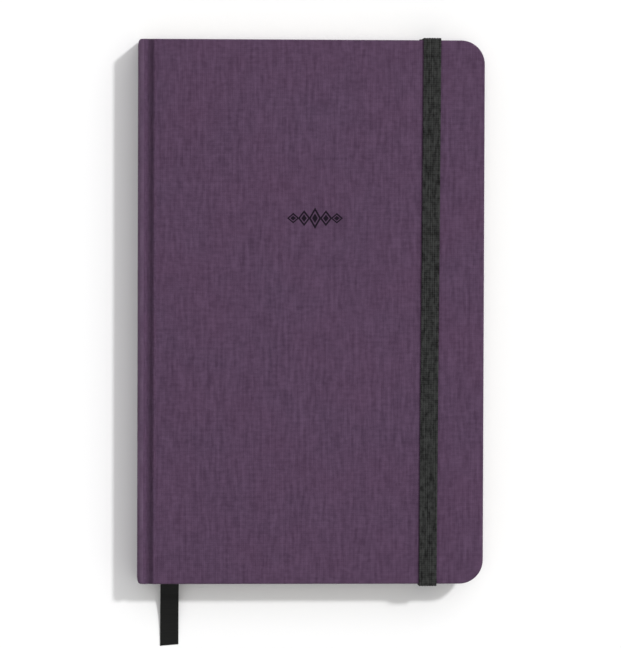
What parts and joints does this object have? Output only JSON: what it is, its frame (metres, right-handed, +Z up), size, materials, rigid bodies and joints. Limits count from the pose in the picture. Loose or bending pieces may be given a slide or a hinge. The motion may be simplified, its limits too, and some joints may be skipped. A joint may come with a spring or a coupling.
{
  "type": "hardcover planner notebook",
  "caption": "Cloth-bound hardcover planner with rounded fore corners, sewn page block, ribbon marker and an elastic closure, opening flat at the ribbon.",
  "frame": {"origin": "centre of the closed book's footprint, on the surface that its back cover lies on", "axes": "+Y from tail to head along the spine, +X from spine to fore edge, +Z up through the covers"},
  "size_m": [0.1334, 0.2356, 0.0173],
  "materials": {
    "book_cloth": "plum linen-weave book cloth, matt, with fine slubs",
    "greyboard": "grey binder's board",
    "endpaper": "uncoated cream endpaper",
    "page_paper": "uncoated off-white text paper",
    "thread": "natural sewing thread",
    "mull_cloth": "open-weave cotton mull",
    "endband_cloth": "woven two-tone endband",
    "elastic": "ribbed woven elastic, charcoal",
    "ribbon_satin": "black double-face satin ribbon",
    "foil": "dark stamping foil, blind-pressed"
  },
  "bodies": {
    "back_cover": {"back_cloth": "book_cloth", "back_board": "greyboard", "back_pastedown": "endpaper", "back_joint_cloth": "book_cloth", "elastic_end_head": "elastic", "elastic_end_tail": "elastic", "back_flyleaf": "endpaper", "signature_01": "page_paper", "signature_02": "page_paper", "signature_03": "page_paper", "signature_04": "page_paper", "signature_05": "page_paper", "signature_06": "page_paper", "ribbon": "ribbon_satin", "mull": "mull_cloth", "spine_lining": "endpaper", "head_band": "endband_cloth", "tail_band": "endband_cloth", "sewing_thread_1": "thread", "sewing_thread_2": "thread", "sewing_thread_3": "thread", "sewing_thread_4": "thread", "sewing_thread_5": "thread"},
    "spine": {"spine_cloth": "book_cloth", "spine_card": "greyboard"},
    "front_cover": {"front_cloth": "book_cloth", "front_board": "greyboard", "front_pastedown": "endpaper", "front_ornament": "foil", "front_joint_cloth": "book_cloth"},
    "endpaper_leaf": {"front_flyleaf": "endpaper"},
    "elastic_loop": {"elastic_band": "elastic"},
    "leaves_07": {"signature_07": "page_paper"},
    "leaves_08": {"signature_08": "page_paper"},
    "leaves_09": {"signature_09": "page_paper"},
    "leaves_10": {"signature_10": "page_paper"},
    "leaves_11": {"signature_11": "page_paper"},
    "leaves_12": {"signature_12": "page_paper"}
  },
  "joints": [
    {"name": "book_opening", "type": "hinge", "parent": "back_cover", "child": "spine", "pos_m": [-0.06648, 0, 0.0002], "axis": [0, -1, 0], "range_deg": [0, 90], "deforming": ["back_joint_cloth", "mull", "spine_lining", "head_band", "tail_band", "sewing_thread_1", "sewing_thread_2", "sewing_thread_3", "sewing_thread_4", "sewing_thread_5"]},
    {"name": "front_cover_hinge", "type": "hinge", "parent": "spine", "child": "front_cover", "pos_m": [-0.06648, 0, 0.0162], "axis": [0, -1, 0], "range_deg": [0, 90], "deforming": ["front_joint_cloth"]},
    {"name": "flyleaf_turn", "type": "hinge", "parent": "back_cover", "child": "endpaper_leaf", "pos_m": [-0.06517, 0, 0.0082], "axis": [0, -1, 0], "range_deg": [0, 179.5]},
    {"name": "elastic_release", "type": "slide", "parent": "back_cover", "child": "elastic_loop", "axis": [1, 0, 0], "range_m": [0, 0.0255], "deforming": ["elastic_band"]},
    {"name": "turn_07", "type": "hinge", "parent": "back_cover", "child": "leaves_07", "pos_m": [-0.06517, 0, 0.0082], "axis": [0, -1, 0], "range_deg": [0, 176.15]},
    {"name": "turn_08", "type": "hinge", "parent": "back_cover", "child": "leaves_08", "pos_m": [-0.06517, 0, 0.0082], "axis": [0, -1, 0], "range_deg": [0, 176.78]},
    {"name": "turn_09", "type": "hinge", "parent": "back_cover", "child": "leaves_09", "pos_m": [-0.06517, 0, 0.0082], "axis": [0, -1, 0], "range_deg": [0, 177.32]},
    {"name": "turn_10", "type": "hinge", "parent": "back_cover", "child": "leaves_10", "pos_m": [-0.06517, 0, 0.0082], "axis": [0, -1, 0], "range_deg": [0, 177.86]},
    {"name": "turn_11", "type": "hinge", "parent": "back_cover", "child": "leaves_11", "pos_m": [-0.06517, 0, 0.0082], "axis": [0, -1, 0], "range_deg": [0, 178.31]},
    {"name": "turn_12", "type": "hinge", "parent": "back_cover", "child": "leaves_12", "pos_m": [-0.06517, 0, 0.0082], "axis": [0, -1, 0], "range_deg": [0, 178.76]}
  ],
  "couplings": [
    {"joint": "front_cover_hinge", "follows": "book_opening", "ratio": 1},
    {"joint": "flyleaf_turn", "follows": "book_opening", "ratio": 1.99},
    {"joint": "elastic_release", "follows": "book_opening", "m_per_rad": 0.01604},
    {"joint": "turn_07", "follows": "book_opening", "ratio": 1.955},
    {"joint": "turn_08", "follows": "book_opening", "ratio": 1.962},
    {"joint": "turn_09", "follows": "book_opening", "ratio": 1.968},
    {"joint": "turn_10", "follows": "book_opening", "ratio": 1.974},
    {"joint": "turn_11", "follows": "book_opening", "ratio": 1.979},
    {"joint": "turn_12", "follows": "book_opening", "ratio": 1.984}
  ]
}
